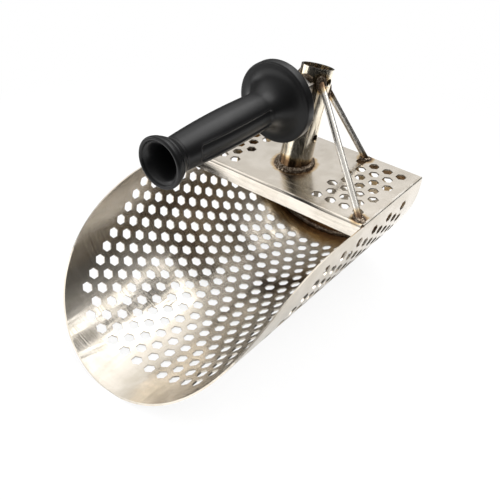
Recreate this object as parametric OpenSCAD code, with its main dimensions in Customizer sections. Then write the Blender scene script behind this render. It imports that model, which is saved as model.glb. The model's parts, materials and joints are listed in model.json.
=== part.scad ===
// Hand scoop for sieving sand: a perforated half-round bowl of stainless sheet with a welded
// cover plate and back plate, a leaning pole socket held by four brace rods, and a moulded
// grip that screws into a nut on the socket.
// Millimetres. +Z is up, the mouth faces -Y, and the origin is under the middle of the part,
// on the surface that it lies on.

/* [Sheet] */
// Thickness of the bowl, cover and back sheet
sheet_t = 1.2; // [1:0.1:2.5]

/* [Bowl] */
// Inside radius of the half-round bowl
bowl_r = 86.5; // [75:0.5:100]
// Length from the rear edge to the tip of the lip
bowl_len = 255; // [235:1:290]
// Length of the mouth's half ellipse, measured along the bowl
mouth_len = 130; // [110:1:150]
// Depth of the flat along the bottom that the bowl rests on
rest_flat = 0.07; // [0.03:0.01:0.2]

/* [Perforation] */
// Width of a hexagonal hole across its flats
hole_af = 7.5; // [5:0.1:9]
// Spacing of the holes in a row around the bowl
bowl_pitch = 12.4; // [11:0.1:15]
// Spacing of the holes in a row on the flat plates
plate_pitch = 12; // [11:0.1:15]
// Spacing of the rows
row_pitch = 10.4; // [9.5:0.1:13]
// Bare sheet between the rear edge and the middle of the last row in the bowl
bowl_rear_margin = 25; // [15:0.5:35]
// Least bare sheet between the tip of the lip and the middle of the first row
bowl_tip_margin = 30; // [20:0.5:40]
// Least bare sheet in front of a hole, measured along the bowl
bowl_lip_margin = 20; // [12:0.5:30]
// Least bare sheet between the top edge of the bowl and the middle of a hole
rim_margin = 12; // [8:0.5:20]

/* [Cover plate] */
// Depth of the cover from its folded front edge to the rear edge
cover_depth = 87.5; // [80:0.5:110]
// Height of the folded front lip, from the top of the cover
cover_lip_h = 12; // [6:0.5:20]
// Outside radius of the fold
fold_r = 2.5; // [2:0.1:4]
// Width of the ground seam weld along each side of the cover
seam_w = 2; // [1:0.1:3]
// Distance of the innermost holes from the middle of the cover
cover_hole_x = 39; // [30:0.5:45]
// Bare sheet between the rear edge and the middle of the last row in the cover
cover_rear_margin = 11; // [8:0.5:16]

/* [Pole socket] */
// Outside diameter of the socket tube
tube_d = 25.4; // [20:0.1:32]
// Wall of the socket tube
tube_wall = 1.5; // [1:0.1:3]
// Length of the socket along its axis, above the cover
tube_len = 77; // [70:0.5:100]
// Lean of the socket towards the rear, in degrees
tube_lean = 17; // [0:0.5:25]
// Distance of the socket's foot from the rear edge
tube_from_rear = 47.5; // [42:0.5:55]
// Diameter of the pole bolt holes
bolt_d = 6.5; // [4:0.1:8]
// Height of the lower bolt hole along the socket
bolt_low = 24; // [18:0.5:40]
// Height of the upper bolt hole along the socket
bolt_high = 67.5; // [55:0.5:70]

/* [Brace rods] */
// Diameter of the brace rods
rod_d = 5; // [4:0.1:6]
// Distance of the front feet in from the sides of the cover
front_foot_in = 5.2; // [4.8:0.1:25]
// Distance of the front feet from the folded front edge
front_foot_y = 7; // [6:0.5:12]
// Height along the socket that the front rods point at
front_aim = 78; // [70:0.5:85]
// Distance in front of the socket's axis that the front rods point at
front_ahead = 3.5; // [0:0.1:5]
// Distance of the rear feet from the middle of the cover
rear_foot_x = 39.3; // [25:0.1:60]
// Distance of the rear feet from the rear edge
rear_foot_y = 4.8; // [4.7:0.1:8]
// Height along the socket that the rear rods point at
rear_aim = 74; // [60:0.5:78]

/* [Grip] */
// Length of the grip from the rim of its guard to its flared end
grip_len = 119; // [105:0.5:140]
// Largest radius of the barrelled handhold
grip_r = 14.2; // [13:0.1:17]
// How much thinner the handhold is at its front end
grip_taper = 2.2; // [0:0.1:3]
// Radius of the guard flange
guard_r = 30.2; // [25:0.1:36]
// Thickness of the guard's rim
guard_t = 8; // [5:0.5:10]
// Radius of the flared end
flare_r = 17.7; // [16:0.1:20]
// Radius of the open bore in the front end
grip_bore_r = 9.5; // [6:0.1:10]
// Upward tilt of the grip, in degrees
grip_tilt = 1.3; // [0:0.1:10]
// Height of the grip's axis above the cover, at the guard's rim
grip_h = 63.3; // [60:0.1:66]
// Distance of the guard's rim in front of the socket's foot
grip_reach = 31.2; // [30:0.1:40]

/* [Grip fastening] */
// Diameter of the threaded stud
stud_d = 8; // [6:0.1:9]
// Radial clearance of the stud in its nut
thread_gap = 0.05; // [0.02:0.01:0.1]
// Length of stud behind the washer
stud_engaged = 16; // [12:0.5:18]
// Width of the nut across its flats
nut_af = 13; // [12:0.1:15]
// Thickness of the washer
washer_t = 2.2; // [1.5:0.1:3]
// Diameter of the washer
washer_d = 17; // [14:0.1:24]

/* [Welds] */
// Leg of the fillet weld at the foot of the socket
socket_weld = 3.3; // [2:0.1:5]
// Radius of the weld at the foot of a rod
foot_weld_r = 4.7; // [4:0.1:5.5]
// Radius of the weld at the top of a rod
top_weld_r = 4.3; // [4:0.1:5]
// Radius of the fillet weld between the back plate and the bowl
back_weld_r = 2.5; // [1.5:0.1:4]
// Leg of the weld between the nut and the socket
nut_weld = 2; // [1.5:0.1:4]

/* [Hidden] */
$fn = 96;
// Gap left between curved faces that are welded together
weld_gap = 0.05;
// Length that a cut runs past the solid
over = 1;
// Steps along the mouth's edge and along each curve of the grip
mouth_steps = 32;
curve_steps = 12;

outer_r = bowl_r + sheet_t;
axis_z = outer_r - rest_flat;
mid_r = bowl_r + sheet_t / 2;
cover_z = axis_z + sheet_t;
rear_y = bowl_len / 2;
tip_y = -bowl_len / 2;
mouth_y = tip_y + mouth_len;
front_y = rear_y - cover_depth;
cover_half = outer_r - seam_w;
front_foot_x = cover_half - front_foot_in;

tube_r = tube_d / 2;
tube_y = rear_y - tube_from_rear;
grip_y = tube_y - grip_reach;
grip_z = cover_z + grip_h;

hole_r = hole_af / 2 / cos(30);
degrees = 180 / PI;
// Half steps of the bowl's pattern that fit beside its middle, and its rows
side_steps = floor((mid_r * PI / 2 - rim_margin) / (bowl_pitch / 2));
bowl_rows = floor((bowl_len - bowl_rear_margin - bowl_tip_margin) / row_pitch) + 1;
straight_rows = ceil((rear_y - bowl_rear_margin - mouth_y) / row_pitch) + 1;
step_angle = bowl_pitch / 2 / mid_r * degrees;

guard_blend = 19;
guard_edge = 1.5;
barrel_mid = 50;
flare_start = grip_len - 16.5;
boss_r = 14;
boss_len = 6;
boss_back = -guard_t - boss_len;
nut_face = boss_back - washer_t;
panel_from = 20;
panel_to = 92;
panel_h = 12;
panel_depth = 0.7;
// Grooves around the flared end: distance from its face and radius
groove_back = 13;
groove_back_r = 0.6;
groove_front = 6;
groove_front_r = 0.9;

// Widening of the bore at the socket's foot, and how high along the axis it reaches
foot_ease = 0.4;
pole_stop_h = (tube_r - tube_wall + foot_ease) * tan(tube_lean) + 0.1;

// Feet of the rods on the right
front_foot = [front_foot_x, front_y + front_foot_y, cover_z];
rear_foot = [rear_foot_x, rear_y - rear_foot_y, cover_z];
// Points in the socket that the rods on the right run towards
front_target = on_socket(front_aim, front_ahead);
rear_target = on_socket(rear_aim, 0);
// Length of the nut before it is coped
nut_len = 40;

stainless = [0.80, 0.77, 0.71];
weld_brown = [0.42, 0.34, 0.27];
black_plastic = [0.10, 0.10, 0.11];

// y of the mouth's edge at an angle from the bottom of the bowl: half an ellipse on the flat blank
function mouth_edge(angle) = mouth_y - mouth_len * sqrt(max(0, 1 - pow(angle / 90, 2)));

// Half steps from the middle to the last hole of a row, with rows counted from the rear
function row_steps(i) = i < straight_rows ? side_steps - i % 2 : side_steps - (i - straight_rows + 1);

// Point at a height along the socket, at a distance in front of its axis
function on_socket(h, ahead) = [
    0,
    tube_y + h * sin(tube_lean) - ahead * cos(tube_lean),
    cover_z + h * cos(tube_lean) + ahead * sin(tube_lean)
];

// Where the middle of a rod meets the socket's wall
function entry(foot, target, ahead) =
    let (
        way = foot - target,
        unit = way / norm(way),
        forward = unit * [0, -cos(tube_lean), sin(tube_lean)],
        across = pow(unit[0], 2) + pow(forward, 2),
        lead = ahead * forward
    )
    target + unit * (sqrt(lead * lead + across * (tube_r * tube_r - ahead * ahead)) - lead) / across;

// Radius of the barrelled handhold at a distance from the guard
function handhold(t) = grip_r - grip_taper * pow((t - barrel_mid) / (flare_start - barrel_mid), 2);

// A hexagonal cut with its corners along Y
module hex_cut(length) {
    rotate([0, 0, 90]) cylinder(r = hole_r, h = length, center = true, $fn = 6);
}

module other_side() {
    mirror([1, 0, 0]) children();
}

module on_tube() {
    translate([0, tube_y, cover_z]) rotate([-tube_lean, 0, 0]) children();
}

module on_grip() {
    translate([0, grip_y, grip_z]) rotate([90 - grip_tilt, 0, 0]) children();
}

// Everything under the top of the cover, to cut what stands on it
module below_cover() {
    size = 2 * bowl_len;
    translate([-size / 2, -size / 2, cover_z - size]) cube(size);
}

// The socket's outside as a solid, run on past both ends
module socket_solid() {
    on_tube() translate([0, 0, -tube_d]) cylinder(r = tube_r, h = tube_len + 3 * tube_d);
}

module rod_solid(foot, target) {
    way = target - foot;
    length = norm(way);
    unit = way / length;
    translate(foot - unit * 3 * rod_d)
        rotate([0, acos(unit[2]), atan2(unit[1], unit[0])])
            rotate([0, 0, 90]) cylinder(d = rod_d, h = length + 3 * rod_d);
}

module brace(foot, target) {
    color(stainless) difference() {
        rod_solid(foot, target);
        below_cover();
        socket_solid();
    }
}

module foot_weld(foot, target) {
    color(weld_brown) difference() {
        translate(foot) rotate([90, 0, 0]) rotate_extrude(angle = 180) intersection() {
            circle(r = foot_weld_r);
            translate([0, -foot_weld_r]) square([foot_weld_r, 2 * foot_weld_r]);
        }
        rod_solid(foot, target);
    }
}

module top_weld(foot, target, ahead) {
    color(weld_brown) difference() {
        translate(entry(foot, target, ahead)) rotate([90, 0, 0]) sphere(r = top_weld_r);
        socket_solid();
        rod_solid(foot, target);
    }
}

module front_brace_right() {
    brace(front_foot, front_target);
}

module front_brace_left() {
    other_side() front_brace_right();
}

module rear_brace_right() {
    brace(rear_foot, rear_target);
}

module rear_brace_left() {
    other_side() rear_brace_right();
}

module front_foot_welds() {
    foot_weld(front_foot, front_target);
    other_side() foot_weld(front_foot, front_target);
}

module rear_foot_welds() {
    foot_weld(rear_foot, rear_target);
    other_side() foot_weld(rear_foot, rear_target);
}

module front_top_welds() {
    top_weld(front_foot, front_target, front_ahead);
    other_side() top_weld(front_foot, front_target, front_ahead);
}

module rear_top_welds() {
    top_weld(rear_foot, rear_target, 0);
    other_side() top_weld(rear_foot, rear_target, 0);
}

// Side outline of the bowl: the mouth's edge from the top of the wall down to the tip of the lip
module bowl_outline() {
    edge = [for (i = [0 : mouth_steps])
        let (angle = 90 * cos(90 * i / mouth_steps))
        [mouth_edge(angle), axis_z - mid_r * cos(angle)]];
    polygon(concat(edge, [
        [tip_y, 0],
        [rear_y, 0],
        [rear_y, axis_z]
    ]));
}

module bowl_holes() {
    for (i = [0 : bowl_rows - 1]) {
        y = rear_y - bowl_rear_margin - i * row_pitch;
        steps = row_steps(i);
        for (k = [-steps : 2 : steps]) {
            angle = k * step_angle;
            if (y - mouth_edge(abs(angle)) >= bowl_lip_margin)
                translate([0, y, axis_z]) rotate([0, -angle, 0])
                    translate([0, 0, -mid_r]) hex_cut(3 * sheet_t);
        }
    }
}

// One perforated sheet, rolled to a half round and cut to the scoop's mouth
module bowl() {
    color(stainless) difference() {
        intersection() {
            translate([0, rear_y, axis_z]) rotate([90, 0, 0]) difference() {
                cylinder(r = outer_r, h = bowl_len);
                translate([0, 0, -over]) cylinder(r = bowl_r, h = bowl_len + 2 * over);
            }
            rotate([90, 0, 90]) linear_extrude(height = 2 * outer_r + 2 * over, center = true) bowl_outline();
        }
        bowl_holes();
    }
}

module cover_holes() {
    columns = floor((cover_half - cover_hole_x - hole_af) / plate_pitch) + 1;
    rows = floor((cover_depth - 2 * cover_rear_margin) / row_pitch) + 1;
    for (side = [-1, 1], i = [0 : rows - 1], c = [0 : columns - 1 - i % 2])
        translate([
            side * (cover_hole_x + (c + i % 2 / 2) * plate_pitch),
            rear_y - cover_rear_margin - i * row_pitch,
            cover_z - sheet_t / 2
        ]) hex_cut(3 * sheet_t);
}

// Side outline of the cover: its flat, its fold and its lip
module cover_outline() {
    translate([front_y + fold_r, cover_z - sheet_t]) square([cover_depth - fold_r, sheet_t]);
    intersection() {
        translate([front_y, cover_z - fold_r]) square(fold_r);
        translate([front_y + fold_r, cover_z - fold_r]) difference() {
            circle(r = fold_r);
            circle(r = fold_r - sheet_t);
        }
    }
    translate([front_y, cover_z - cover_lip_h]) square([sheet_t, cover_lip_h - fold_r]);
}

// Notch at the right end of the lip, so that a tall lip clears the bowl's wall
module lip_notch() {
    lip_half = sqrt(pow(bowl_r, 2) - pow(cover_lip_h - sheet_t, 2)) - weld_gap;
    translate([lip_half, front_y - over, axis_z - cover_lip_h])
        cube([outer_r, fold_r + over, cover_lip_h]);
}

// Cover sheet that lies on the bowl's edges, with its front edge folded down between the walls
module cover_plate() {
    color(stainless) difference() {
        rotate([90, 0, 90]) linear_extrude(height = 2 * cover_half, center = true) cover_outline();
        lip_notch();
        other_side() lip_notch();
        cover_holes();
    }
}

module back_holes() {
    edge_r = bowl_r - rim_margin - hole_r;
    rows = floor(edge_r / row_pitch);
    for (i = [0 : rows - 1]) {
        drop = rim_margin + i * row_pitch;
        half = drop < edge_r ? sqrt(edge_r * edge_r - drop * drop) : 0;
        steps = floor(half / (plate_pitch / 2));
        last = steps - (steps + i) % 2;
        if (drop <= edge_r && last >= 0)
            for (k = [-last : 2 : last])
                translate([k * plate_pitch / 2, rear_y - sheet_t / 2, axis_z - drop])
                    rotate([90, 0, 0]) hex_cut(3 * sheet_t);
    }
}

// Half-round back sheet, set inside the rear end of the bowl
module back_plate() {
    color(stainless) difference() {
        translate([0, rear_y, axis_z]) rotate([90, 0, 0]) cylinder(r = bowl_r - weld_gap, h = sheet_t);
        translate([-outer_r, rear_y - 2 * sheet_t, axis_z]) cube([2 * outer_r, 3 * sheet_t, outer_r]);
        back_holes();
    }
}

// Weld along one side of the cover, ground to a rounded edge on top of the bowl's wall
module seam_weld_right() {
    color(stainless) intersection() {
        translate([cover_half, rear_y, axis_z]) rotate([90, 0, 0])
            cylinder(r = seam_w, h = cover_depth - fold_r);
        translate([cover_half, front_y + fold_r, axis_z])
            cube([seam_w, cover_depth - fold_r, sheet_t]);
    }
}

module seam_weld_left() {
    other_side() seam_weld_right();
}

// Fillet weld in the corner between the back plate and the bowl
module back_seam_weld() {
    color(weld_brown) difference() {
        translate([0, rear_y - sheet_t, axis_z]) rotate([90, 0, 0])
            rotate_extrude(angle = -180) difference() {
                translate([bowl_r - back_weld_r - weld_gap, 0]) square(back_weld_r);
                translate([bowl_r - back_weld_r - weld_gap, back_weld_r]) circle(r = back_weld_r);
            }
        translate([-outer_r, rear_y - 2 * back_weld_r - sheet_t, axis_z - weld_gap])
            cube([2 * outer_r, 2 * back_weld_r + sheet_t, 2 * back_weld_r]);
    }
}

module cross_hole(h) {
    translate([0, 0, h]) rotate([0, 90, 0]) cylinder(d = bolt_d, h = tube_d + 2 * over, center = true);
}

// Tube that takes the pole, cut square at the top and to the cover at its foot. The bore is
// eased below the height where a pole's square end meets the cover.
module socket_tube() {
    bore_r = tube_r - tube_wall;
    color(stainless) difference() {
        on_tube() difference() {
            translate([0, 0, -tube_r]) cylinder(r = tube_r, h = tube_len + tube_r);
            translate([0, 0, -tube_d]) cylinder(r = bore_r, h = tube_len + 2 * tube_d);
            translate([0, 0, -tube_d]) cylinder(r = bore_r + foot_ease, h = tube_d + pole_stop_h);
            cross_hole(bolt_low);
            cross_hole(bolt_high);
        }
        below_cover();
    }
}

// Bead on the cover around the foot of the socket
module socket_weld_ring() {
    color(weld_brown) difference() {
        translate([0, tube_y, cover_z]) rotate_extrude() intersection() {
            translate([tube_r, 0]) circle(r = socket_weld);
            square(tube_r + socket_weld);
        }
        socket_solid();
    }
}

// Hexagonal prism of the nut, with flats at its sides
module nut_prism(length) {
    rotate([0, 0, 30]) cylinder(d = nut_af / cos(30), h = length, $fn = 6);
}

// Long nut, coped to the socket and welded on
module handle_nut() {
    color(stainless) difference() {
        on_grip() translate([0, 0, nut_face - nut_len]) difference() {
            nut_prism(nut_len);
            translate([0, 0, -over]) cylinder(r = stud_d / 2 + thread_gap, h = nut_len + 2 * over);
        }
        socket_solid();
        behind_socket();
    }
}

// Everything behind the middle of the socket at the height of the grip
module behind_socket() {
    size = 3 * tube_d;
    on_tube() translate([-size / 2, 0, -size / 2]) cube([size, size, tube_len + size]);
}

// Two runs of weld between the nut and the socket, above and below
module handle_nut_weld() {
    run = 0.8 * nut_af;
    weld_r = nut_af / 2 / cos(30) + nut_weld;
    color(weld_brown) difference() {
        intersection() {
            on_grip() translate([0, 0, nut_face - nut_len]) intersection() {
                cylinder(r = weld_r, h = nut_len);
                translate([-run / 2, -weld_r, 0]) cube([run, 2 * weld_r, nut_len]);
            }
            on_tube() cylinder(r = tube_r + nut_weld, h = tube_len);
        }
        on_grip() translate([0, 0, nut_face - nut_len - over]) nut_prism(nut_len + 2 * over);
        socket_solid();
        behind_socket();
    }
}

module handle_washer() {
    color(stainless) on_grip() translate([0, 0, nut_face]) difference() {
        cylinder(d = washer_d, h = washer_t);
        translate([0, 0, -over]) cylinder(r = stud_d / 2 + 6 * thread_gap, h = washer_t + 2 * over);
    }
}

// Steel stud moulded into the grip
module handle_stud() {
    color(stainless) on_grip() translate([0, 0, nut_face - stud_engaged])
        cylinder(d = stud_d, h = stud_engaged + washer_t - boss_back + guard_blend);
}

// Half section of the grip's outside, from the boss behind the guard to the flared end
function grip_outline() =
    let (
        neck_t = guard_blend + guard_edge,
        neck_r = handhold(neck_t),
        face_r = guard_r - guard_edge,
        blend = [for (i = [0 : curve_steps])
            let (a = 90 - 90 * i / curve_steps)
            [neck_r + (face_r - neck_r) * (1 - cos(a)), neck_t - guard_blend * sin(a)]],
        barrel = [for (i = [1 : curve_steps])
            let (t = neck_t + (flare_start - neck_t) * i / curve_steps)
            [handhold(t), t]],
        flare_top = grip_len - guard_edge,
        flare = [for (i = [1 : curve_steps])
            let (u = i / curve_steps)
            [flare_at(u), flare_start + (flare_top - flare_start) * u]]
    )
    concat(
        [[0, boss_back], [boss_r, boss_back], [boss_r + guard_edge, -guard_t]],
        [[guard_r - guard_edge, -guard_t + guard_edge], [guard_r, -guard_t + 2 * guard_edge], [guard_r, 0]],
        blend, barrel, flare,
        [[flare_r - guard_edge / 2, grip_len], [0, grip_len]]
    );

// Half section of the open front end: a funnel that narrows into a round bore
function bore_outline() =
    let (
        wall = 3,
        funnel = 14,
        depth = 70,
        mouth_r = flare_r - wall,
        curve = [for (i = [0 : curve_steps])
            let (a = 90 * i / curve_steps)
            [mouth_r - (mouth_r - grip_bore_r) * sin(a), grip_len - funnel * (1 - cos(a))]]
    )
    concat([[0, grip_len + over], [mouth_r, grip_len + over]], curve,
        [[grip_bore_r, grip_len - depth], [0, grip_len - depth]]);

// Half section of the handhold inside its side panels
function panel_outline() =
    let (floor_line = [for (i = [0 : curve_steps])
        let (t = panel_from + (panel_to - panel_from) * i / curve_steps)
        [handhold(t) - panel_depth, t]])
    concat([[0, panel_from - over], [handhold(panel_from) - panel_depth, panel_from - over]], floor_line,
        [[handhold(panel_to) - panel_depth, panel_to + over], [0, panel_to + over]]);

// Shallow panel let into one side of the handhold
module side_panel() {
    difference() {
        translate([0, -panel_h / 2, panel_from]) cube([2 * grip_r, panel_h, panel_to - panel_from]);
        rotate_extrude() polygon(panel_outline());
    }
}

function flare_at(u) =
    let (r0 = handhold(flare_start))
    r0 + (flare_r - r0) * u * u * (3 - 2 * u);

// Groove around the flared end, at a distance from its face
module flare_groove(from_face, radius) {
    u = 1 - (from_face - guard_edge) / (grip_len - guard_edge - flare_start);
    translate([0, 0, grip_len - from_face]) rotate_extrude()
        translate([flare_at(u) + radius / 3, 0]) circle(r = radius);
}

// Moulded grip with a guard flange, a barrelled handhold and a flared open end
module grip() {
    color(black_plastic) on_grip() difference() {
        rotate_extrude() polygon(grip_outline());
        rotate_extrude() polygon(bore_outline());
        translate([0, 0, boss_back - over])
            cylinder(r = stud_d / 2 + weld_gap / 2, h = over - boss_back + guard_blend + weld_gap);
        side_panel();
        other_side() side_panel();
        flare_groove(groove_back, groove_back_r);
        flare_groove(groove_front, groove_front_r);
    }
}

bowl();
cover_plate();
back_plate();
seam_weld_left();
seam_weld_right();
back_seam_weld();
socket_tube();
socket_weld_ring();
front_brace_left();
front_brace_right();
rear_brace_left();
rear_brace_right();
front_foot_welds();
rear_foot_welds();
front_top_welds();
rear_top_welds();
handle_nut();
handle_nut_weld();
handle_washer();
handle_stud();
grip();
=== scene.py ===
import json
from math import atan2, cos, hypot, pi, radians, sin, tan

import bmesh
import bpy
from mathutils import Matrix, Vector, noise


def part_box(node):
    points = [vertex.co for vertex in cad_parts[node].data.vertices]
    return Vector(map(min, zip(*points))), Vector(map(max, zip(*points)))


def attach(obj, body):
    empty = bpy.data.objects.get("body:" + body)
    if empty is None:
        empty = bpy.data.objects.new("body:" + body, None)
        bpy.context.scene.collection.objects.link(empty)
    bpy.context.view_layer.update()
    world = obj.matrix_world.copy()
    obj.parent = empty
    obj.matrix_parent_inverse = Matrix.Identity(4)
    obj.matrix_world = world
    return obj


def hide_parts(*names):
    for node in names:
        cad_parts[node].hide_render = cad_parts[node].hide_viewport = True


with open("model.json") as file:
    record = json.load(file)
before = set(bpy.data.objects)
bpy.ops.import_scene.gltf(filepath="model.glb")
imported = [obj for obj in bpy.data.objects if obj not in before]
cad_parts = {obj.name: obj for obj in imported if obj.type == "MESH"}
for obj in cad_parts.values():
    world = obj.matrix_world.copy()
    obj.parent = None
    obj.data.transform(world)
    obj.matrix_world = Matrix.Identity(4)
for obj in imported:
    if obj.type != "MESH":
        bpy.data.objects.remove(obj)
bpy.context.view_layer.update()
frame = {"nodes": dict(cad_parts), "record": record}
scene = bpy.context.scene
scene.view_settings.view_transform = "Standard"

# The camera stands in front of the mouth, to the right and above, a little turned about
# its own axis, about 0.6 m from the scoop.
eye = Vector((0.2913, -0.3591, 0.39778))
azimuth = radians(37.104)
elevation = radians(37.019)
roll = radians(2.026)
focal_px = 768.9
image_px = 500
sensor_mm = 36

back = Vector((sin(azimuth) * cos(elevation), -cos(azimuth) * cos(elevation), sin(elevation)))
level = Vector((cos(azimuth), sin(azimuth), 0))
upright = back.cross(level)
right = cos(roll) * level + sin(roll) * upright
up = -sin(roll) * level + cos(roll) * upright
camera = bpy.data.objects.new("camera", bpy.data.cameras.new("camera"))
camera.data.sensor_width = sensor_mm
camera.data.lens = focal_px / image_px * sensor_mm
camera.data.clip_start = 0.01
camera.matrix_world = Matrix.Translation(eye) @ Matrix((right, up, back)).transposed().to_4x4()
scene.collection.objects.link(camera)
scene.camera = camera

# A plain white table inside a light tent of white cloth, with softboxes above the rear, at the
# front left and at the left. Seen directly, table and tent are plain white, with a faint shadow.
# Polished metal shows the tent with its darker skirt, its dim right side and its dim front.
table_r = 0.5
table_colour = (0.92, 0.92, 0.92, 1)
table_glow = 0.86
fill_light = 1.3
tent_skirt = 0.1
tent_roof = 1.9
dim_side = 0.25
dim_front = 0.35
softbox_aim = Vector((0, 0, 0.08))


def node(tree, kind, inputs=None, **settings):
    """A shader node with its settings, and its inputs set or linked by name or number."""
    made = tree.nodes.new("ShaderNode" + kind)
    for name, value in settings.items():
        setattr(made, name, value)
    for name, value in (inputs or {}).items():
        if isinstance(value, bpy.types.NodeSocket):
            tree.links.new(value, made.inputs[name])
        else:
            made.inputs[name].default_value = value
    return made


def calc(tree, operation, one, other, **settings):
    """One step of arithmetic with two values."""
    return node(tree, "Math", {0: one, 1: other}, operation=operation, **settings).outputs[0]


def ease(tree, value, low, high, first=0.0, last=1.0):
    """A smooth change from first to last while a value goes from low to high."""
    span = {"Value": value, "From Min": low, "From Max": high, "To Min": first, "To Max": last}
    return node(tree, "MapRange", span, interpolation_type="SMOOTHSTEP").outputs[0]


def seen_directly(tree):
    """1 for a ray from the camera or through a see-through surface, else 0."""
    rays = node(tree, "LightPath").outputs
    return calc(tree, "MAXIMUM", rays["Is Camera Ray"], rays["Is Transmission Ray"])


def on_part(tree):
    """The place of a point in the shared frame."""
    return node(tree, "TexCoord").outputs["Object"]


def xyz(tree, at):
    """The three coordinates of a place."""
    return node(tree, "SeparateXYZ", {"Vector": at}).outputs


bm = bmesh.new()
bmesh.ops.create_circle(bm, cap_ends=True, segments=96, radius=table_r)
table_mesh = bpy.data.meshes.new("table")
bm.to_mesh(table_mesh)
bm.free()
table = bpy.data.objects.new("table", table_mesh)
scene.collection.objects.link(table)
table_white = bpy.data.materials.new("table_white")
table_white.use_nodes = True
tree = table_white.node_tree
tree.nodes.clear()
matt = node(tree, "BsdfDiffuse", {"Color": table_colour})
glow = node(tree, "Emission")
out = node(tree, "VectorMath", {0: on_part(tree)}, operation="LENGTH").outputs["Value"]
bright = ease(tree, out, 0.5 * table_r, 0.9 * table_r, table_glow)
share = calc(tree, "MULTIPLY", seen_directly(tree), bright)
mixed = node(tree, "MixShader", {"Fac": share, 1: matt.outputs[0], 2: glow.outputs[0]})
node(tree, "OutputMaterial", {"Surface": mixed.outputs[0]})
table_mesh.materials.append(table_white)

world = bpy.data.worlds.new("light_tent")
scene.world = world
world.use_nodes = True
tree = world.node_tree
cloth = tree.nodes["Background"]
cloth.inputs["Color"].default_value = (1, 1, 1, 1)
way = xyz(tree, node(tree, "TexCoord").outputs["Generated"])
height = ease(tree, way["Z"], 0.1, 0.9, tent_skirt, tent_roof)
side = ease(tree, way["X"], -0.3, 0.8, 1.0, dim_side)
rear = ease(tree, way["Y"], -0.35, 0.35, dim_front, 1.0)
tent = calc(tree, "MULTIPLY", calc(tree, "MULTIPLY", height, side), rear)
glossy = node(tree, "LightPath").outputs["Is Glossy Ray"]
mirrored = node(tree, "Mix", {0: glossy, 2: fill_light, 3: tent})
strength = node(tree, "Mix", {0: seen_directly(tree), 2: mirrored.outputs[0], 3: 1.0})
tree.links.new(strength.outputs[0], cloth.inputs["Strength"])

for name, place, wide, high, brightness in (
    ("rear_softbox", (0.15, 0.62, 0.98), 0.9, 0.5, 2.7),
    ("front_softbox", (-0.6, -0.85, 0.36), 0.85, 0.7, 1.8),
    ("left_softbox", (-0.95, -0.3, 0.25), 0.45, 0.45, 2.6),
):
    lamp = bpy.data.lights.new(name, "AREA")
    lamp.shape = "RECTANGLE"
    lamp.size = wide
    lamp.size_y = high
    lamp.energy = brightness * pi * wide * high
    softbox = bpy.data.objects.new(name, lamp)
    softbox.location = place
    softbox.rotation_euler = (softbox_aim - softbox.location).to_track_quat("-Z", "Y").to_euler()
    scene.collection.objects.link(softbox)

# The bowl is one sheet of bright rolled stainless steel, punched with hexagonal holes, cut to
# a half ellipse at the mouth and rolled to a half round. Rolling leaves it slightly wavy. Painted
# shade in the colours of heat tint darkens its inside along the back and under the cover.
bowl_low, bowl_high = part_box("bowl")
bowl_r = (bowl_high.x - bowl_low.x) / 2
bowl_axis_z = bowl_high.z
cover_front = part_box("cover_plate")[0].y
half_sheet = 0.0006
sheet_bright = (0.585, 0.54, 0.475, 1)
sheet_dull = (0.51, 0.465, 0.395, 1)


def stretched(tree, at, by):
    """A place with each coordinate multiplied."""
    return node(tree, "VectorMath", {0: at, 1: by}, operation="MULTIPLY").outputs[0]


def distance(tree, at, point):
    """Distance of a place from a point."""
    return node(tree, "VectorMath", {0: at, 1: point}, operation="DISTANCE").outputs["Value"]


def blend(tree, share, one, other, **settings):
    """A mix of two colours."""
    inputs = {0: share, 6: one, 7: other}
    return node(tree, "Mix", inputs, data_type="RGBA", **settings).outputs[2]


def rolled_finish_group():
    """Bright rolled sheet: cloudy tone, fine lines along X and the unevenness left by the rolls."""
    group = bpy.data.node_groups.new("rolled_finish", "ShaderNodeTree")
    group.interface.new_socket("Vector", in_out="INPUT", socket_type="NodeSocketVector")
    for name in ("Cloud", "Lines", "Waves"):
        group.interface.new_socket(name, in_out="OUTPUT", socket_type="NodeSocketFloat")
    at = group.nodes.new("NodeGroupInput").outputs["Vector"]
    put = group.nodes.new("NodeGroupOutput")
    cloud = node(group, "TexNoise", {"Vector": at, "Scale": 55.0, "Detail": 3.0})
    drawn = stretched(group, at, (26.0, 900.0, 900.0))
    lines = node(group, "TexNoise", {"Vector": drawn, "Scale": 1.0, "Detail": 4.0})
    rolled = stretched(group, at, (75.0, 22.0, 40.0))
    waves = node(
        group, "TexNoise", {"Vector": rolled, "Scale": 1.0, "Detail": 2.0, "Distortion": 0.5}
    )
    group.links.new(ease(group, cloud.outputs["Fac"], 0.35, 0.65), put.inputs["Cloud"])
    group.links.new(ease(group, lines.outputs["Fac"], 0.3, 0.7), put.inputs["Lines"])
    group.links.new(waves.outputs["Fac"], put.inputs["Waves"])
    return group


rolled_finish = rolled_finish_group()


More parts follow.
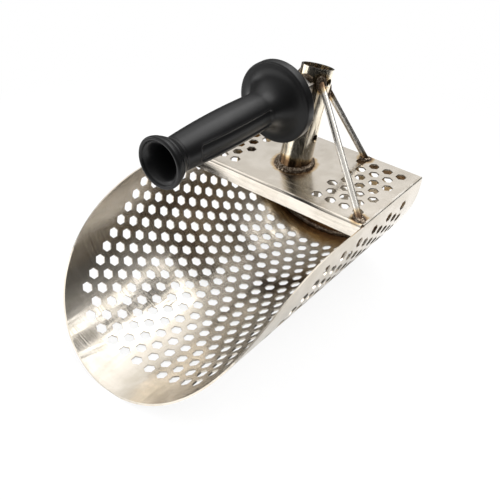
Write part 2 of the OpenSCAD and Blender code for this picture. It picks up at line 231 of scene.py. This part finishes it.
def steel(name, pattern_at, bright, dull, roughness, wave_mm, tints=(), lean=0):
    """Polished steel with the rolled finish. pattern_at makes the pattern's coordinates, tints are
    heat marks and painted shade, and lean tilts the shading of upright faces towards the sky, in
    degrees."""
    smoother, rougher = 0.05, 0.07
    material = bpy.data.materials.new(name)
    material.use_nodes = True
    tree = material.node_tree
    bsdf = tree.nodes["Principled BSDF"]
    finish = node(tree, "Group", {"Vector": pattern_at(tree)}, node_tree=rolled_finish).outputs
    tone = blend(tree, finish["Cloud"], dull, bright)
    for tint in tints:
        tone = blend(tree, 1.0, tone, tint(tree), blend_type="MULTIPLY")
    tree.links.new(tone, bsdf.inputs["Base Color"])
    bsdf.inputs["Metallic"].default_value = 1
    gloss = node(
        tree, "MapRange",
        {"Value": finish["Lines"], "To Min": roughness - smoother, "To Max": roughness + rougher},
    )
    tree.links.new(gloss.outputs[0], bsdf.inputs["Roughness"])
    wavy = node(
        tree, "Bump", {"Strength": 1.0, "Distance": wave_mm / 1000, "Height": finish["Waves"]}
    )
    lined = node(
        tree, "Bump",
        {"Strength": 0.2, "Distance": 0.00001, "Height": finish["Lines"], "Normal": wavy.outputs[0]},
    )
    tree.links.new(lined.outputs[0], bsdf.inputs["Normal"])
    if lean:
        slope = calc(tree, "MULTIPLY", xyz(tree, on_part(tree))["Z"], -tan(radians(lean)))
        leant = node(tree, "Bump", {"Strength": 1.0, "Distance": 1.0, "Height": slope})
        tree.links.new(leant.outputs[0], wavy.inputs["Normal"])
    return material


def dress(name, material):
    """Give a CAD node one material."""
    materials = frame["nodes"][name].data.materials
    materials.clear()
    materials.append(material)


def on_blank(tree):
    """Place on the bowl's flat blank: distance around the bowl, then along it."""
    at = xyz(tree, on_part(tree))
    drop = calc(tree, "SUBTRACT", bowl_axis_z, at["Z"])
    around = calc(tree, "MULTIPLY", calc(tree, "ARCTAN2", at["X"], drop), bowl_r)
    return node(tree, "CombineXYZ", {"X": around, "Y": at["Y"]}).outputs[0]


def heat_tint_and_shade_group():
    """Colour for steel to multiply its own: brown at the start, then straw, then none. It is the heat
    tint beside a weld, and painted shade inside the bowl and on the back.
    """
    group = bpy.data.node_groups.new("heat_tint_and_shade", "ShaderNodeTree")
    for name in ("Away", "Reach"):
        group.interface.new_socket(name, in_out="INPUT", socket_type="NodeSocketFloat")
    group.interface.new_socket("Vector", in_out="INPUT", socket_type="NodeSocketVector")
    group.interface.new_socket("Tint", in_out="OUTPUT", socket_type="NodeSocketColor")
    given = group.nodes.new("NodeGroupInput").outputs
    put = group.nodes.new("NodeGroupOutput")
    share = calc(group, "DIVIDE", given["Away"], given["Reach"])
    uneven = node(group, "TexNoise", {"Vector": given["Vector"], "Scale": 260.0, "Detail": 3.0})
    shift = node(
        group, "MapRange", {"Value": uneven.outputs["Fac"], "To Min": -0.35, "To Max": 0.35}
    )
    ramp = node(group, "ValToRGB", {"Fac": calc(group, "ADD", share, shift.outputs[0], use_clamp=True)})
    stops = ramp.color_ramp.elements
    stops[0].position = 0.0
    stops[0].color = (0.2, 0.13, 0.085, 1)
    stops[1].position = 1.0
    stops[1].color = (1, 1, 1, 1)
    for position, colour in ((0.3, (0.42, 0.3, 0.2, 1)), (0.6, (0.85, 0.7, 0.48, 1))):
        stops.new(position).color = colour
    group.links.new(ramp.outputs["Color"], put.inputs["Tint"])
    return group


heat_tint_and_shade = heat_tint_and_shade_group()


def heat_and_shade_near(away, reach_mm):
    """A function that adds a tint to a material: heat tint beside a weld, and painted shade inside the
    bowl and on the back. away makes the distance.
    """
    def add(tree):
        at = on_part(tree)
        inputs = {"Away": away(tree, at), "Reach": reach_mm / 1000, "Vector": at}
        return node(tree, "Group", inputs, node_tree=heat_tint_and_shade).outputs["Tint"]
    return add


def heat_mark(centre, radius_mm, reach_mm):
    """Heat tint around a round weld."""
    def away(tree, at):
        return calc(tree, "SUBTRACT", distance(tree, at, centre), radius_mm / 1000)
    return heat_and_shade_near(away, reach_mm)


def from_rear(tree, at):
    """Distance from the rear edge."""
    return calc(tree, "SUBTRACT", bowl_high.y, xyz(tree, at)["Y"])


def from_cover(tree, at):
    """Distance below the cover, or in front of it."""
    place = xyz(tree, at)
    below = calc(tree, "SUBTRACT", bowl_axis_z, place["Z"])
    ahead = calc(tree, "SUBTRACT", cover_front, place["Y"])
    return calc(tree, "MAXIMUM", below, ahead)


def far_past(tree, past, away):
    """A distance that is far off where another value is above 0."""
    return calc(tree, "MAXIMUM", calc(tree, "MULTIPLY", past, 1000.0), away)


def inside(away):
    """A distance for the inside of the bowl only, far off on its outside."""
    def limited(tree, at):
        off_axis = distance(tree, stretched(tree, at, (1, 0, 1)), (0, 0, bowl_axis_z))
        past = calc(tree, "SUBTRACT", off_axis, bowl_r - half_sheet)
        return far_past(tree, past, away(tree, at))
    return limited


# Painted shade: the bowl's inside is darkened along the back and under the cover, in heat-tint colours.
bowl_painted_shade = [heat_and_shade_near(inside(from_rear), reach_mm=24), heat_and_shade_near(inside(from_cover), reach_mm=16)]
bowl_steel = steel(
    "bowl_steel", on_blank, sheet_bright, sheet_dull, roughness=0.2, wave_mm=0.4, tints=bowl_painted_shade
)
dress("bowl", bowl_steel)

# The cover is a flat sheet with its front edge folded down, punched on both sides of the socket.
# Welding has tinted it brown and straw around the socket's foot and the feet of the rods. Its lip
# is shaded as if it leant back, so that it catches the light from above.
cover_low, cover_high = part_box("cover_plate")
cover_z = cover_high.z
cover_bright = (0.64, 0.59, 0.52, 1)
cover_dull = (0.57, 0.52, 0.45, 1)
lip_lean = 20
socket_mount = next(mount for mount in frame["record"]["mounts"] if mount["name"] == "pole_socket")
socket_way = Vector(socket_mount["axis"]).normalized()
socket_at = Vector(socket_mount["pos_m"])
socket_foot = socket_at - socket_way * ((socket_at.z - cover_z) / socket_way.z)
front_foot_x = 0.0805
front_foot_in = 0.007
rear_foot_x = 0.0393
rear_foot_in = 0.0048
front_foot = Vector((front_foot_x, cover_low.y + front_foot_in, cover_z))
rear_foot = Vector((rear_foot_x, cover_high.y - rear_foot_in, cover_z))


def both_sides(place):
    """A place or a direction on the right, and its mirror image on the left."""
    return place, Vector((-place.x, place.y, place.z))


cover_marks = [heat_mark(socket_foot, radius_mm=14.8, reach_mm=5)]
for foot in both_sides(front_foot) + both_sides(rear_foot):
    cover_marks.append(heat_mark(foot, radius_mm=4.0, reach_mm=4))
cover_steel = steel(
    "cover_steel", on_part, cover_bright, cover_dull, roughness=0.18, wave_mm=0.1,
    tints=cover_marks, lean=lip_lean,
)
dress("cover_plate", cover_steel)

# The back is a half-round sheet of the same steel, punched like the cover and welded inside the
# rear end of the bowl. Painted shade in the colours of heat tint darkens its inner face along the
# edges and towards the cover, and its outer face is clean.
edge_shade_mm = 20
top_shade_mm = 34


def from_back_edge(tree, at):
    """Distance inwards from the back's round edge."""
    return calc(tree, "SUBTRACT", bowl_r, distance(tree, at, (0, bowl_high.y, bowl_axis_z)))


def inner_face(away):
    """A distance for the back's inner face only, far off on its outer face."""
    def limited(tree, at):
        past = calc(tree, "SUBTRACT", xyz(tree, at)["Y"], bowl_high.y - half_sheet)
        return far_past(tree, past, away(tree, at))
    return limited


# Painted shade: the back's inner face is darkened along its edges and towards the cover, in heat-tint
# colours.
back_painted_shade = [
    heat_and_shade_near(inner_face(from_back_edge), edge_shade_mm),
    heat_and_shade_near(inner_face(from_cover), top_shade_mm),
]
back_steel = steel(
    "back_steel", on_part, sheet_bright, sheet_dull, roughness=0.27, wave_mm=0.2, tints=back_painted_shade
)
dress("back_plate", back_steel)

# Seam welds join the cover's sides to the bowl's edges. They are ground to a round, with the
# grinding lines across them.
seam_bright = (0.6, 0.57, 0.52, 1)
seam_dull = (0.44, 0.4, 0.34, 1)


def across_seam(tree):
    """Place on a ground seam, with the lines across it."""
    return stretched(tree, on_part(tree), (1.0, 1.3, 1.0))


seam_steel = steel("seam_steel", across_seam, seam_bright, seam_dull, roughness=0.36, wave_mm=0.1)
for name in ("seam_weld_left", "seam_weld_right"):
    dress(name, seam_steel)

# The pole socket is a polished stainless tube, cut to the cover and welded on. Its foot and the
# places where the rods meet it are tinted by the heat.
tube_r = 0.0127
tube_bright = (0.76, 0.69, 0.57, 1)
tube_dull = (0.62, 0.555, 0.435, 1)
front_aim = 0.078
front_ahead = 0.0035
rear_aim = 0.074
ahead_way = Vector((0, -socket_way.z, socket_way.y))


def rod_entry(foot, aim, ahead):
    """Where a rod's middle meets the socket's wall, and the rod's way up to there."""
    target = socket_foot + socket_way * aim + ahead_way * ahead
    way = (foot - target).normalized()
    forward = way.dot(ahead_way)
    across = way.x ** 2 + forward ** 2
    lead = ahead * forward
    run = ((lead ** 2 + across * (tube_r ** 2 - ahead ** 2)) ** 0.5 - lead) / across
    return target + way * run, -way


front_top, front_way = rod_entry(front_foot, front_aim, front_ahead)
rear_top, rear_way = rod_entry(rear_foot, rear_aim, 0)


def along_socket(tree):
    """Place on the socket, with the drawing lines along its axis."""
    turn = {"Vector": on_part(tree), "Rotation": (0, pi / 2, 0)}
    return node(tree, "Mapping", turn, vector_type="POINT").outputs[0]


tube_marks = [heat_mark(socket_foot, radius_mm=13.0, reach_mm=2)]
for top in both_sides(front_top) + both_sides(rear_top):
    tube_marks.append(heat_mark(top, radius_mm=3.8, reach_mm=5))
tube_steel = steel(
    "tube_steel", along_socket, tube_bright, tube_dull, roughness=0.17, wave_mm=0.05, tints=tube_marks
)
dress("socket_tube", tube_steel)

# Four round rods of drawn stainless steel brace the socket. They are welded to it and to the
# cover, and the heat has browned their ends.
rod_r = 0.0025
rod_bright = (0.95, 0.91, 0.84, 1)
rod_dull = (0.86, 0.82, 0.75, 1)
rod_marks = []
for end in (front_foot, rear_foot, front_top, rear_top):
    for place in both_sides(end):
        rod_marks.append(heat_mark(place, radius_mm=3.2, reach_mm=6))
rod_steel = steel(
    "rod_steel", along_socket, rod_bright, rod_dull, roughness=0.3, wave_mm=0.03, tints=rod_marks
)
for name in ("front_brace_left", "front_brace_right", "rear_brace_left", "rear_brace_right"):
    dress(name, rod_steel)

# Weld beads run around the foot of the socket and both ends of each rod. They are stacked
# ripples of filler metal, left as welded: brown scale with bright specks.
bead_brown = (0.075, 0.05, 0.033, 1)
bead_bright = (0.42, 0.35, 0.27, 1)
bead_from = radians(-14)
bead_sweep = radians(124)
socket_leg = 0.0031
socket_ripples = 26
foot_leg = 0.0016
top_leg = 0.0018
rod_ripples = 9
plate_up = Vector((0, 0, 1))


def weld_metal_material():
    """Heat-scaled weld metal."""
    material = bpy.data.materials.new("weld_metal")
    material.use_nodes = True
    tree = material.node_tree
    bsdf = tree.nodes["Principled BSDF"]
    scale = node(
        tree, "TexNoise",
        {"Vector": on_part(tree), "Scale": 900.0, "Detail": 4.0, "Roughness": 0.65},
    ).outputs["Fac"]
    worn = ease(tree, scale, 0.42, 0.7)
    tree.links.new(blend(tree, worn, bead_brown, bead_bright), bsdf.inputs["Base Color"])
    bsdf.inputs["Metallic"].default_value = 1
    gloss = node(tree, "MapRange", {"Value": worn, "To Min": 0.55, "To Max": 0.28})
    tree.links.new(gloss.outputs[0], bsdf.inputs["Roughness"])
    rough = node(tree, "Bump", {"Strength": 0.6, "Distance": 0.0003, "Height": scale})
    tree.links.new(rough.outputs[0], bsdf.inputs["Normal"])
    return material


weld_metal = weld_metal_material()


def bead_ring(bar_r, leg, ripples, bar_way, foot, normal, wall_r=0.0):
    """A rippled bead around a bar that stands on a surface. wall_r is the radius of a round one."""
    bm = bmesh.new()
    start = bm.verts.new((bar_r + leg * cos(bead_from), 0, leg * sin(bead_from)))
    bmesh.ops.spin(bm, geom=[start], cent=(bar_r, 0, 0), axis=(0, -1, 0), angle=bead_sweep, steps=9)
    bmesh.ops.spin(
        bm, geom=bm.verts[:] + bm.edges[:], cent=(0, 0, 0), axis=(0, 0, 1), angle=2 * pi,
        steps=8 * ripples, use_merge=True,
    )
    bmesh.ops.remove_doubles(bm, verts=bm.verts, dist=1e-6)
    for vert in bm.verts:
        turn = atan2(vert.co.y, vert.co.x)
        out = hypot(vert.co.x, vert.co.y) - bar_r
        slope = atan2(vert.co.z, out)
        ripple = abs(sin(ripples * turn / 2 + 0.5 * slope))
        lump = noise.noise(vert.co * 330 + foot * 100)
        swell = 0.86 + 0.16 * ripple + 0.14 * lump
        ring = bar_r + out * swell
        vert.co = (ring * cos(turn), ring * sin(turn), vert.co.z * swell)
    rims = [edge for edge in bm.edges if edge.is_boundary]
    bmesh.ops.bridge_loops(bm, edges=rims)
    side = bar_way.cross(normal).normalized()
    lean = side.cross(bar_way).normalized()
    rise = bar_way / bar_way.dot(normal)
    flat_side = side - rise * side.dot(normal)
    flat_lean = lean - rise * lean.dot(normal)
    seat = Matrix((flat_side, flat_lean, rise)).transposed()
    bmesh.ops.transform(bm, matrix=Matrix.Translation(foot) @ seat.to_4x4(), verts=bm.verts)
    if wall_r:
        around = socket_way.cross(normal)
        for vert in bm.verts:
            vert.co -= normal * (vert.co - foot).dot(around) ** 2 / (2 * wall_r)
    bmesh.ops.recalc_face_normals(bm, faces=bm.faces)
    return bm


def weld_piece(name, node_name, beads):
    """One piece of several beads that replaces a CAD node."""
    mesh = bpy.data.meshes.new(name)
    whole = bmesh.new()
    for bead in beads:
        part = bpy.data.meshes.new("bead")
        bead.to_mesh(part)
        bead.free()
        whole.from_mesh(part)
        bpy.data.meshes.remove(part)
    for face in whole.faces:
        face.smooth = True
    whole.to_mesh(mesh)
    whole.free()
    mesh.materials.append(weld_metal)
    piece = bpy.data.objects.new(name, mesh)
    scene.collection.objects.link(piece)
    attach(piece, "scoop")
    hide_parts(node_name)


socket_bead = bead_ring(tube_r, socket_leg, socket_ripples, socket_way, socket_foot, plate_up)
weld_piece("socket_bead", "socket_weld_ring", [socket_bead])
for end, foot, way in (("front", front_foot, front_way), ("rear", rear_foot, rear_way)):
    feet = []
    for at, bar in zip(both_sides(foot), both_sides(way)):
        feet.append(bead_ring(rod_r, foot_leg, rod_ripples, bar, at, plate_up))
    weld_piece(end + "_foot_beads", end + "_foot_welds", feet)
for end, top, way in (("front", front_top, front_way), ("rear", rear_top, rear_way)):
    tops = []
    for at, bar in zip(both_sides(top), both_sides(-way)):
        out = at - socket_foot
        out = (out - socket_way * out.dot(socket_way)).normalized()
        tops.append(bead_ring(rod_r, top_leg, rod_ripples, bar, at, out, tube_r))
    weld_piece(end + "_top_beads", end + "_top_welds", tops)
for name in ("back_seam_weld", "handle_nut_weld"):
    dress(name, weld_metal)

# A long steel nut is welded to the front of the socket, and a plain washer lies between it and
# the grip. Both are of plain bright steel.
fastener_bright = (0.56, 0.55, 0.53, 1)
fastener_dull = (0.45, 0.44, 0.42, 1)
fastener_steel = steel(
    "fastener_steel", on_part, fastener_bright, fastener_dull, roughness=0.32, wave_mm=0.03
)
for name in ("handle_nut", "handle_washer"):
    dress(name, fastener_steel)

# The stud is an M8 screw of plain steel. Its head end is moulded into the grip, and its thread
# runs into the nut.
joints = frame["record"]["behaviour"]["joints"]
grip_joint = next(joint for joint in joints if joint["name"] == "grip_turn")
grip_at = Vector(grip_joint["pos_m"])
grip_way = Vector(grip_joint["axis"]).normalized()
grip_side = Vector((1, 0, 0))
grip_up = grip_way.cross(grip_side)
stud_r = 0.004
stud_from = -0.0322
stud_to = 0.0188
stud_bevel = 0.0008
pitch = 0.00125
thread_depth = 0.00062
thread_to = -0.0142
rings_per_turn = 12


def turned(name, profile, segments, shape):
    """A mesh turned around the grip's axis from (along, radius) points, then shaped by a function
    of the place along the axis, the radius and the angle around it, which gives the radius."""
    bm = bmesh.new()
    line = [bm.verts.new(grip_at + grip_way * t + grip_side * r) for t, r in profile]
    for one, other in zip(line, line[1:]):
        bm.edges.new((one, other))
    bmesh.ops.spin(
        bm, geom=bm.verts[:] + bm.edges[:], cent=grip_at, axis=grip_way, angle=2 * pi,
        steps=segments, use_merge=True,
    )
    bmesh.ops.remove_doubles(bm, verts=bm.verts, dist=1e-6)
    for vert in bm.verts:
        off = vert.co - grip_at
        t = off.dot(grip_way)
        x, y = off.dot(grip_side), off.dot(grip_up)
        r = hypot(x, y)
        if r > 1e-5:
            scale = shape(t, r, atan2(y, x)) / r
            vert.co = grip_at + grip_way * t + (grip_side * x + grip_up * y) * scale
    bmesh.ops.recalc_face_normals(bm, faces=bm.faces)
    for face in bm.faces:
        face.smooth = True
    mesh = bpy.data.meshes.new(name)
    bm.to_mesh(mesh)
    bm.free()
    piece = bpy.data.objects.new(name, mesh)
    scene.collection.objects.link(piece)
    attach(piece, "grip")
    return piece


def thread(t, r, angle):
    """A V-shaped thread on the free end of the stud, which runs out at both of its ends."""
    if t > thread_to or r < 0.9 * stud_r:
        return r
    wave = abs((t / pitch - angle / (2 * pi)) % 1 - 0.5) * 2
    runs_in = min(1, (t - stud_from) / pitch, (thread_to - t) / pitch)
    return r - thread_depth * runs_in * (1 - wave)


rings = round((thread_to - stud_from) / (pitch / rings_per_turn))
thread_from = stud_from + stud_bevel
stud_line = [(stud_from, 0.0), (stud_from, stud_r - stud_bevel), (thread_from, stud_r)]
for i in range(1, rings + 1):
    stud_line.append((thread_from + (thread_to - thread_from) * i / rings, stud_r))
stud_line += [(stud_to, stud_r), (stud_to, 0.0)]
stud = turned("threaded_stud", stud_line, 48, thread)
stud.data.materials.append(fastener_steel)
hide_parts("handle_stud")

# The grip is moulded from satin black plastic: a guard that flows into a barrelled handhold, a
# shallow panel with a raised edge let into each side, and a flared open end with two grooves.
grip_len = 0.119
grip_r = 0.0142
grip_taper = 0.0022
guard_r = 0.0302
guard_t = 0.008
edge_r = 0.0015
boss_r = 0.014
boss_back = -0.014
boss_edge = 0.0006
stud_gap = 0.00003
neck_t = 0.0205
barrel_mid = 0.05
barrel_steps = 110
flare_start = grip_len - 0.0165
flare_top = grip_len - edge_r
flare_r = 0.0177
flare_steps = 36
mouth_r = flare_r - 2 * edge_r
skin_r = mouth_r - 0.003
funnel_len = 0.014
bore_r = 0.0095
bore_end = grip_len - 0.07
panel_mid = 0.056
panel_half = 0.036
panel_high = 0.006
panel_round = 0.0025
panel_depth = 0.0009
panel_wall = 0.0008
panel_rim = 0.0003
rim_half = 0.0006
grooves = ((grip_len - 0.013, 0.0007), (grip_len - 0.006, 0.001))
groove_share = 0.75
plastic_dark = (0.002, 0.002, 0.0022, 1)
plastic_pale = (0.005, 0.005, 0.0052, 1)


def handhold(t):
    """Radius of the barrelled handhold."""
    return grip_r - grip_taper * ((t - barrel_mid) / (flare_start - barrel_mid)) ** 2


def arc(t, r, along, out, first, last, steps):
    """Points on an arc of an ellipse, from one angle to another in degrees."""
    turns = [radians(first + (last - first) * i / steps) for i in range(steps + 1)]
    return [(t + along * sin(turn), r + out * cos(turn)) for turn in turns]


def smooth(u):
    """A smooth rise from 0 to 1."""
    return u * u * (3 - 2 * u)


grip_line = [(boss_back, stud_r + stud_gap), (boss_back, boss_r - boss_edge)]
grip_line += arc(boss_back + boss_edge, boss_r - boss_edge, -boss_edge, boss_edge, 90, 0, 4)
grip_line += [
    (-guard_t, boss_r + 0.001),
    (-guard_t + 0.0004, boss_r + 0.003),
    (-guard_t + edge_r, guard_r - 0.003),
]
grip_line += arc(-guard_t + 2 * edge_r, guard_r - edge_r, -edge_r, edge_r, 80, 0, 6)
grip_line += arc(0, guard_r - edge_r, edge_r, edge_r, 0, 80, 6)
neck_r = handhold(neck_t)
face_r = guard_r - 2 * edge_r
grip_line += arc(neck_t, face_r, edge_r - neck_t, neck_r - face_r, 90, 0, 24)
for i in range(1, barrel_steps + 1):
    t = neck_t + (flare_start - neck_t) * i / barrel_steps
    grip_line.append((t, handhold(t)))
flare_foot_r = handhold(flare_start)
for i in range(1, flare_steps + 1):
    u = i / flare_steps
    t = flare_start + (flare_top - flare_start) * u
    grip_line.append((t, flare_foot_r + (flare_r - flare_foot_r) * smooth(u)))
grip_line += arc(flare_top, flare_r - edge_r, edge_r, edge_r, 10, 170, 12)
grip_line += arc(flare_top - funnel_len, mouth_r, funnel_len, bore_r - mouth_r, 84, 0, 12)
grip_line += [(bore_end, bore_r), (bore_end, 0.0)]


def moulding(t, r, angle):
    """The grooves of the flare and the panels on both sides."""
    if r < skin_r or t < 0 or t > flare_top:
        return r
    for place, depth in grooves:
        if abs(t - place) < depth:
            r -= groove_share * (depth ** 2 - (t - place) ** 2) ** 0.5
    past_end = abs(t - panel_mid) - panel_half
    past_side = r * min(abs(angle), pi - abs(angle)) - panel_high
    inwards = min(0, max(past_end, past_side) + panel_round)
    corner = hypot(max(0, past_end + panel_round), max(0, past_side + panel_round))
    off = corner + inwards - panel_round
    sunk = min(1, max(0, 0.5 - off / panel_wall))
    raised = max(0, 1 - abs(off - rim_half) / rim_half)
    return r - panel_depth * smooth(sunk) + panel_rim * raised


grip = turned("moulded_grip", grip_line, 192, moulding)
black_plastic = bpy.data.materials.new("black_plastic")
black_plastic.use_nodes = True
tree = black_plastic.node_tree
bsdf = tree.nodes["Principled BSDF"]
at = on_part(tree)
handled = node(tree, "TexNoise", {"Vector": at, "Scale": 60.0, "Detail": 3.0}).outputs["Fac"]
tree.links.new(blend(tree, handled, plastic_dark, plastic_pale), bsdf.inputs["Base Color"])
gloss = node(tree, "MapRange", {"Value": handled, "To Min": 0.3, "To Max": 0.42})
tree.links.new(gloss.outputs[0], bsdf.inputs["Roughness"])
bsdf.inputs["Specular IOR Level"].default_value = 0.3
grain = node(tree, "TexNoise", {"Vector": at, "Scale": 2600.0, "Detail": 2.0})
pebbled = node(tree, "Bump", {"Strength": 0.25, "Distance": 0.00008, "Height": grain.outputs["Fac"]})
tree.links.new(pebbled.outputs[0], bsdf.inputs["Normal"])
grip.data.materials.append(black_plastic)
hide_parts("grip")
